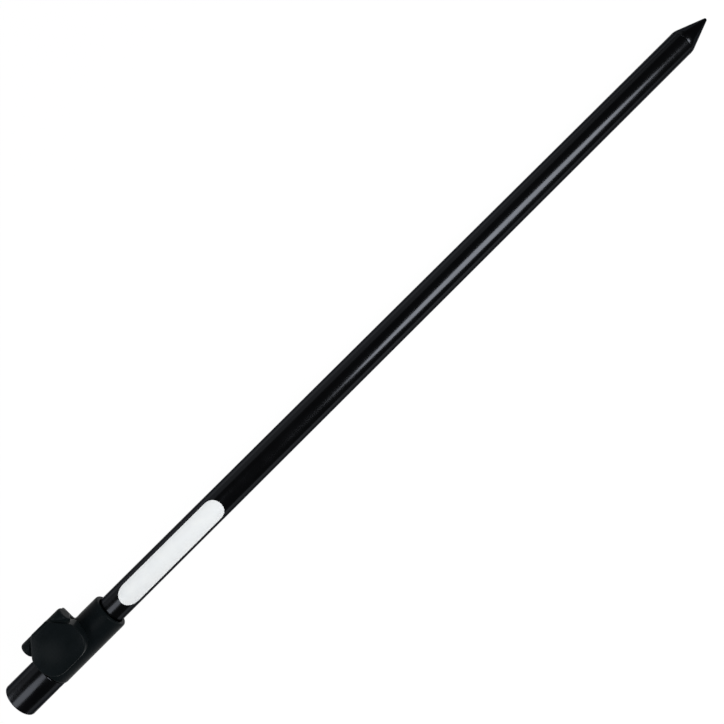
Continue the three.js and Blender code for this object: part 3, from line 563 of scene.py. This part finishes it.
bmesh.ops.translate(ridge, vec=(0, dome_y, paddle_top - dome_radius / math.cos(fall)), verts=ridge.verts[:])
neck_round = 2
neck_end = [(cam_open - neck_round + neck_round * math.cos(math.radians(turn)),
             crest - neck_round + neck_round * math.sin(math.radians(turn))) for turn in range(0, 91, 15)]
neck_section = cam_edge + neck_end + [(dome_y, paddle_top), (dome_y, paddle_under)]
neck = shaped(drawn_out([(x, y, -10, rounding) for x, y, rounding in lever_plan], (0, 0, 20)), [
    ("INTERSECT", ridge),
    ("INTERSECT", drawn_out([(-20, y, z, 0) for y, z in neck_section], (40, 0, 0)))])


def neck_groove(side):
    """A cutter for the groove between the neck and the cam bar, at one side or the other."""
    along = math.atan2(lever_half - 5, cam_open + 6)
    shape = block((0, -8.5, crest - 1.9), (1.1, 8.5, crest + 3))
    bmesh.ops.transform(shape, matrix=Matrix.Translation((9.25, -0.8, 0)) @ Matrix.Rotation(along, 4, "Z"),
                        verts=shape.verts[:])
    if side < 0:
        bmesh.ops.scale(shape, vec=(-1, 1, 1), verts=shape.verts[:])
        bmesh.ops.recalc_face_normals(shape, faces=shape.faces[:])
    return shape


barrel_hole, barrel_cover, collar_clearance = 2.65, 1.1, 10.9
core_low, core_end, core_wall = paddle_under - 2, -7.5, 1.15
core_half, core_start, core_roof = 11.2, tip_y + 5.3, paddle_under + 8
finger_end, finger_roof = tip_y + 3, -1.29
stud_slot = [(-2.4, y, z, 0) for y, z in ((-2.4, 0), (-2.4, -7.2), (7.2, -7.2), (7.2, 2.4), (0, 2.4))]
lever = shaped(bar, [
    ("UNION", paddle),
    ("UNION", neck),
    ("DIFFERENCE", rod_between((-20, -pivot_y, -pivot_z), (20, -pivot_y, -pivot_z), collar_clearance, 128)),
    ("DIFFERENCE", rod_between((-20, 0, 0), (lever_half - barrel_cover, 0, 0), barrel_hole, 64)),
    ("DIFFERENCE", drawn_out(stud_slot, (4.8, 0, 0))),
    ("DIFFERENCE", block((core_wall, core_start, core_low), (core_half, core_end, core_roof))),
    ("DIFFERENCE", block((-core_half, core_start, core_low), (-core_wall, core_end, core_roof))),
    ("DIFFERENCE", block((-27, tip_y - 2, core_low), (27, finger_end, finger_roof))),
    ("DIFFERENCE", neck_groove(1)),
    ("DIFFERENCE", neck_groove(-1))],
    moulded=0.28, softening=16)
fitted("cam_lever", lever, nylon, "lever",
       place=on_stick @ Matrix.Translation((clamp_x, pivot_y, pivot_z)), crease=0)

# Rod: the inner tube that slides and turns in the bushes, the same anodised tube as the outer one.
# It is drilled across at each end for the pin that holds the head or the glide plug.
rod_start, rod_end, rod_radius, rod_bore = 14.4, 441.6, 6.0, 5
head_pin_x, plug_pin_x = 18.6, 434.6
head_pin_hole, plug_pin_hole = 1.35, 1.1
rod = shaped(
    turned([(rod_start, rod_bore, edge_break), (rod_end, rod_bore, edge_break),
            (rod_end, rod_radius, edge_break), (rod_start, rod_radius, edge_break)]),
    [("DIFFERENCE", rod_between((head_pin_x, -15, 0), (head_pin_x, 15, 0), head_pin_hole, 32)),
     ("DIFFERENCE", rod_between((plug_pin_x, -15, 0), (plug_pin_x, 15, 0), plug_pin_hole, 32))])
fitted("inner_tube", rod, anodised_tube, "rod")

# Head cap: turned from aluminium bar and anodised black, with its edges broken. It is pinned on the
# rod, and its end face has a pocket for the thread insert.
head_radius, head_length, insert_pocket, rod_pocket = 10.15, 22.6, 6.4, 6.1
insert_stop, rod_stop = 12.2, 14.2
head = shaped(
    turned([(0, insert_pocket, 0.2), (insert_stop, insert_pocket, 0), (insert_stop, rod_bore, 0.1),
            (rod_stop, rod_bore, 0), (rod_stop, rod_pocket, 0), (head_length, rod_pocket, 0.2),
            (head_length, head_radius, 0.6), (0, head_radius, 0.6)], steps=160),
    [("DIFFERENCE", rod_between((head_pin_x, -15, 0), (head_pin_x, 15, 0), head_pin_hole, 48))])
fitted("head_cap", head, anodised_bar, "rod")

# Thread insert: a brass bush pressed into the head's pocket, tapped 3/8 inch, 20 to the inch, for a
# rod rest or bite alarm. The thread has its real pitch of 1.27 mm.
insert_face, insert_end, insert_radius = 0.2, 12.0, 6.3
thread_root, thread_crest, thread_pitch = 4.76, 4.1, 1.27
insert = joined(
    turned([(insert_face, 5.2, 0.1), (insert_face, insert_radius, 0.2), (insert_end, insert_radius, 0.2),
            (insert_end, thread_root, 0), (0.8, thread_root, 0)], steps=96),
    thread(0.7, 11.9, thread_root, thread_crest, thread_pitch, 64))
fitted("thread_insert", insert, brass, "rod", crease=40)

# Head pin: a spring pin rolled from steel strip, 2.5 mm across, through the head and the rod. Its slit
# lets it spring against the holes, and it ends just under the head's surface.
head_pin_half, head_pin_radius, pin_wall = 9.9, 1.25, 0.5


def spring_pin(half, radius, wall, x):
    """A rolled pin with its slit on top, lying across the stick at x."""
    slit = 2 * math.asin(0.25 / radius)
    shape = turned([(-half, radius - wall, 0.06), (half, radius - wall, 0.06),
                    (half, radius, 0.15), (-half, radius, 0.15)], sweep=math.tau - slit, steps=44)
    bmesh.ops.rotate(shape, cent=(0, 0, 0), matrix=Matrix.Rotation(-slit / 2, 3, "X"), verts=shape.verts[:])
    bmesh.ops.transform(shape, matrix=Matrix.Translation((x, 0, 0)) @ Matrix.Rotation(math.pi / 2, 4, "Z"),
                        verts=shape.verts[:])
    return shape


fitted("head_pin", spring_pin(head_pin_half, head_pin_radius, pin_wall, head_pin_x), steel, "rod")

# Glide plug: pressed into the rod's inner end and pinned. Its flange stops the rod at the guide
# bush, and a seat behind it carries the glide ring.
# Acetal, turned: a black plastic with a low sheen and faint tool rings, 0.1 mm apart in the real one
# and drawn 0.79 mm apart.
ring_scale = 1 / 0.0004 / math.tau
acetal_black = blank_material("turned_acetal_black")
place = add(acetal_black, "ShaderNodeTexCoord")
rings = add(acetal_black, "ShaderNodeTexWave", {
    "Vector": place.outputs["Object"], "Scale": ring_scale,
    "Distortion": 0.5}, wave_type="BANDS", bands_direction="X")
tone = add(acetal_black, "ShaderNodeMix", {
    "Factor": rings.outputs["Fac"], 6: linear("#141517"), 7: linear("#1d1e21")}, data_type="RGBA")
relief = add(acetal_black, "ShaderNodeBump", {
    "Height": rings.outputs["Fac"], "Distance": 0.000003, "Strength": 0.6})
shader = add(acetal_black, "ShaderNodeBsdfPrincipled", {
    "Base Color": tone.outputs[2], "Normal": relief.outputs["Normal"], "Roughness": 0.42, "IOR": 1.48,
    "Specular IOR Level": 0.3})
add(acetal_black, "ShaderNodeOutputMaterial", {"Surface": shader.outputs["BSDF"]})

plug_start, flange_start, flange_stop, ring_stop, plug_end = 425.6, 441.8, 444.3, 450.7, 452.7
plug_radius, stop_radius, ring_seat, tail_radius = 4.9, 6.6, 4.6, 6
plug = shaped(
    turned([(plug_start, 0, 0), (plug_start, plug_radius, 0.8), (flange_start, plug_radius, 0),
            (flange_start, stop_radius, 0.2), (flange_stop, stop_radius, 0.2), (flange_stop, ring_seat, 0),
            (ring_stop, ring_seat, 0), (ring_stop, tail_radius, 0.1), (plug_end, tail_radius, 0.8),
            (plug_end, 0, 0)], steps=96),
    [("DIFFERENCE", rod_between((plug_pin_x, -15, 0), (plug_pin_x, 15, 0), plug_pin_hole, 32))])
fitted("glide_plug", plug, acetal_black, "rod")

# Plug pin: a smaller spring pin of the same steel strip, through the rod and the plug. It ends just
# under the rod's surface, so that it doesn't rub on the guide bush.
plug_pin_half, plug_pin_radius = 5.85, 1.0
fitted("plug_pin", spring_pin(plug_pin_half, plug_pin_radius, pin_wall, plug_pin_x), steel, "rod")

# Glide ring: a white acetal ring, moulded and loose on the plug's seat. It keeps the rod's inner end
# central in the outer tube and slides along it.
ring_start, ring_end, ring_bore, ring_radius = 444.5, 450.5, 4.75, 6.85
ring = turned([(ring_start, ring_bore, 0.2), (ring_end, ring_bore, 0.2),
               (ring_end, ring_radius, 0.4), (ring_start, ring_radius, 0.4)], steps=96)
fitted("glide_ring", ring, acetal_white, "glide")

# Studio: the stick lies on a large board of opal acrylic lit from behind, in dim even light. One box
# draws the highlight along the tube and one the highlight on the head. A low box past the head, on
# the lugs' side, lights that edge of the label more, and a wide panel lifts that side of the tube.
board = blank_material("opal_acrylic_board")
shader = add(board, "ShaderNodeBsdfPrincipled", {
    "Base Color": linear("#262626"), "Roughness": 1, "Specular IOR Level": 0,
    "Emission Color": (1, 1, 1, 1), "Emission Strength": 0.985})
add(board, "ShaderNodeOutputMaterial", {"Surface": shader.outputs["BSDF"]})
sheet = bmesh.new()
bmesh.ops.create_grid(sheet, x_segments=1, y_segments=1, size=4, matrix=Matrix.Translation((0, 0, -0.0003)))
floor_mesh = bpy.data.meshes.new("floor")
sheet.to_mesh(floor_mesh)
sheet.free()
floor_mesh.materials.append(board)
floor = bpy.data.objects.new("floor", floor_mesh)
bpy.context.scene.collection.objects.link(floor)


def softbox(name, centre, size, radiance, facing=(0, 0, -1)):
    """A flat oval lamp. Its power grows with its area, so its size doesn't change how bright it looks."""
    lamp = bpy.data.lights.new(name, "AREA")
    lamp.shape, lamp.size, lamp.size_y = "ELLIPSE", *size
    lamp.energy = radiance * math.pi * size[0] * size[1]
    lamp.color = (0.96, 0.98, 1.0)
    box = bpy.data.objects.new(name, lamp)
    turn = Vector(facing).to_track_quat("-Z", "Y").to_matrix().to_4x4()
    box.matrix_world = Matrix.Translation(centre) @ turn
    bpy.context.scene.collection.objects.link(box)


softbox("tube_softbox", (0.365, -0.36, 0.6), (0.75, 0.51), 8)
softbox("head_softbox", (-0.6, 0.03, 0.6), (0.48, 0.42), 3)
softbox("fill_panel", (0, 1.2, 0.5), (3, 1), 0.32, facing=(0, -1, 0))
softbox("side_softbox", (-1.35, 0.7, 0.42), (0.9, 0.9), 5, facing=(1.19, -0.7, -0.41))
world = bpy.data.worlds.new("studio")
world.use_nodes = True
world.node_tree.nodes["Background"].inputs["Color"].default_value = (1, 1, 1, 1)
world.node_tree.nodes["Background"].inputs["Strength"].default_value = 0.1
bpy.context.scene.world = world
bpy.context.scene.view_settings.view_transform = "Standard"

# Camera: above the stick, 50 mm nearer the head than its middle, leaning 4.5 degrees towards the tip.
# It is turned so that the stick runs from the lower left to the upper right. A 40.8 mm lens on a
# 36 mm frame.
camera_data = bpy.data.cameras.new("camera")
camera_data.sensor_width, camera_data.lens = 36, 40.77
camera_data.clip_start, camera_data.clip_end = 0.01, 20
camera = bpy.data.objects.new("camera", camera_data)
camera_place, lean_part, down_part = (-0.0498, -0.00516, 0.4648), 0.0785, 0.9969
roll_cosine, roll_sine = 0.70917, 0.70504
lean = Vector((lean_part, 0, -down_part)).normalized()
along = Vector((down_part, 0, lean_part)).normalized()
across = Vector((0, 1, 0))
right = roll_cosine * along - roll_sine * across
upward = roll_sine * along + roll_cosine * across
turn = Matrix((right, upward, -lean)).transposed().to_4x4()
camera.matrix_world = Matrix.Translation(camera_place) @ turn
bpy.context.scene.collection.objects.link(camera)
bpy.context.scene.camera = camera

bpy.context.view_layer.update()
